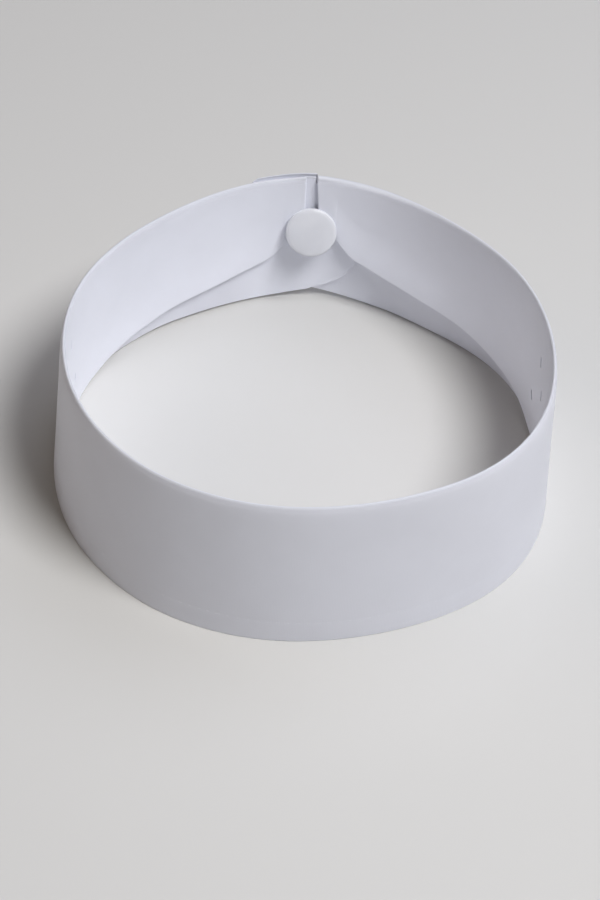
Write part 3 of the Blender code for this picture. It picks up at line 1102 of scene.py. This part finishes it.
stud = spun("turned_stud", stud_profile(), STUD_SIDES)
stud_angle = STUD_SIDE / ARC_RADIUS
stud_radius = rim_radius(stud_angle) + flare(stud_angle) * (1 - STUD_HEIGHT / DEPTH)
stud_middle = Vector((stud_radius * math.sin(stud_angle), stud_radius * math.cos(stud_angle), STUD_HEIGHT))
lean_back = Matrix.Rotation(math.radians(90.0 - STUD_LEAN), 4, "X")
stud.data.transform(Matrix.Translation(stud_middle * MM + SHIFT) @ lean_back)
stud.data.materials.append(plastic_finish)
compare(stud, "collar_stud")

# %% [markdown]
# ## Pieces and bodies
#
# Nothing on the collar moves by itself, so every piece rides on the one body. Both leaves are
# sheets of cloth. The size the inner leaf was cut to is printed beside its modelled area.

# %% Attach the pieces and hide the solids
INNER_TOP = LIP_END - INNER_GAP
INNER_CUT = (INNER_TOP * MM, (ROUND - 2 * SLIT) * MM)


def inner_area():
    """Flat area of the inner leaf, whose lower edge climbs towards both ends."""
    total = 0.0
    for travel in np.arange(SLIT, ROUND - SLIT, 0.5):
        distance, on_right = from_back(travel)
        total += 0.5 * (INNER_TOP - inner_leaf_edge(distance, on_right))
    return total * MM * MM


for piece in (outer_cloth, inner_cloth, hem_stitches, hole_stitches, stud):
    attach(piece, "root")
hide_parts("outer_leaf")
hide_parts("inner_leaf")
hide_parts("collar_stud")
inner_area()
print("inner leaf cut to, mm:", [round(v / MM, 1) for v in INNER_CUT], f"area {inner_area():.4f} m2")

# %% [markdown]
# ## Table top, light and camera
#
# The collar stands on a smooth pale surface. The main light is a soft disc in front, to the right
# and high up: it gives the shadows inside the right wall and beside the left one. A broad weaker
# light behind on the right brightens the inside, a third on the left keeps the shadows open, and
# the room adds almost nothing. All were set by comparing the light on walls, stud and table with
# the photograph.

# %% Floor
FLOOR_HALF = 3.0
FLOOR_COLOUR = (0.622, 0.616, 0.600)
floor_mesh = bpy.data.meshes.new("table_top")
corners = [(x * FLOOR_HALF, y * FLOOR_HALF, 0) for x, y in ((-1, -1), (1, -1), (1, 1), (-1, 1))]
floor_mesh.from_pydata(corners, [], [(0, 1, 2, 3)])
floor = placed("table_top", floor_mesh)
floor_finish, _ = material_named("pale table top", FLOOR_COLOUR, 0.75, Specular_IOR_Level=0.2)
floor_mesh.materials.append(floor_finish)

# %% Lights
LIGHTS = (
    # name, degrees round from the front towards +X, degrees up, distance, size, watts, colour
    ("front right", 50, 60, 1.3, 0.5, 15.0, (1.0, 1.0, 1.01)),
    ("behind right", 135, 60, 1.3, 1.0, 4.1, (0.96, 1.0, 1.14)),
    ("left", -90, 35, 1.3, 1.0, 2.3, (1.15, 1.0, 0.88)),
)
AIM = Vector((0.0, 0.0, 20 * MM))


def soft_light(name, around, up, distance, size, watts, colour):
    data = bpy.data.lights.new(name, "AREA")
    data.shape = "DISK"
    data.size = size
    data.energy = watts
    data.color = colour
    lamp = placed(name, data)
    a, e = math.radians(around), math.radians(up)
    way = Vector((math.sin(a) * math.cos(e), -math.cos(a) * math.cos(e), math.sin(e)))
    lamp.location = AIM + way * distance
    lamp.rotation_euler = (-way).to_track_quat("-Z", "Y").to_euler()
    return lamp


for row in LIGHTS:
    soft_light(*row)
world = bpy.data.worlds.new("room")
world.use_nodes = True
ROOM_LIGHT = (0.01, 0.01, 0.01)
world.node_tree.nodes["Background"].inputs["Color"].default_value = (*ROOM_LIGHT, 1.0)
bpy.context.scene.world = world
bpy.context.scene.view_settings.view_transform = "Standard"
print("lights:", ", ".join(row[0] for row in LIGHTS))

# %% [markdown]
# The camera looks down on the collar from the front, turned a hair clockwise. Its place was found
# by matching the rim, the lower edge and the slit with the photograph. It is a long lens, and a
# small shift lifts the collar in the frame, because the picture continues below it.

# %% Camera
VIEW_UP = math.radians(42.64)
VIEW_TURN = math.radians(1.393)
VIEW_ROLL = math.radians(3.01)
VIEW_DISTANCE = 661.07 * MM
VIEW_AIM = Vector((-1.87, 16.32, 22.25)) * MM
FRAME_HEIGHT = 900
FOCAL_PIXELS = 2500
CENTRE_ROW = 356
SENSOR = 36.0

forward = Vector((
    math.sin(VIEW_TURN) * math.cos(VIEW_UP),
    math.cos(VIEW_TURN) * math.cos(VIEW_UP),
    -math.sin(VIEW_UP),
))
level = Vector((math.cos(VIEW_TURN), -math.sin(VIEW_TURN), 0.0))
above = level.cross(forward)
side = level * math.cos(VIEW_ROLL) + above * math.sin(VIEW_ROLL)
top = above * math.cos(VIEW_ROLL) - level * math.sin(VIEW_ROLL)
lens = bpy.data.cameras.new("camera")
lens.sensor_width = SENSOR
lens.lens = SENSOR * FOCAL_PIXELS / FRAME_HEIGHT
lens.shift_y = (CENTRE_ROW - FRAME_HEIGHT / 2) / FRAME_HEIGHT
lens.clip_start = 0.01
camera = placed("camera", lens)
turned = Matrix((side, top, -forward)).transposed().to_4x4()
camera.matrix_world = Matrix.Translation(VIEW_AIM + SHIFT - forward * VIEW_DISTANCE) @ turned
bpy.context.scene.camera = camera
print(f"lens {lens.lens:.0f} mm, shift {lens.shift_y:.3f}")
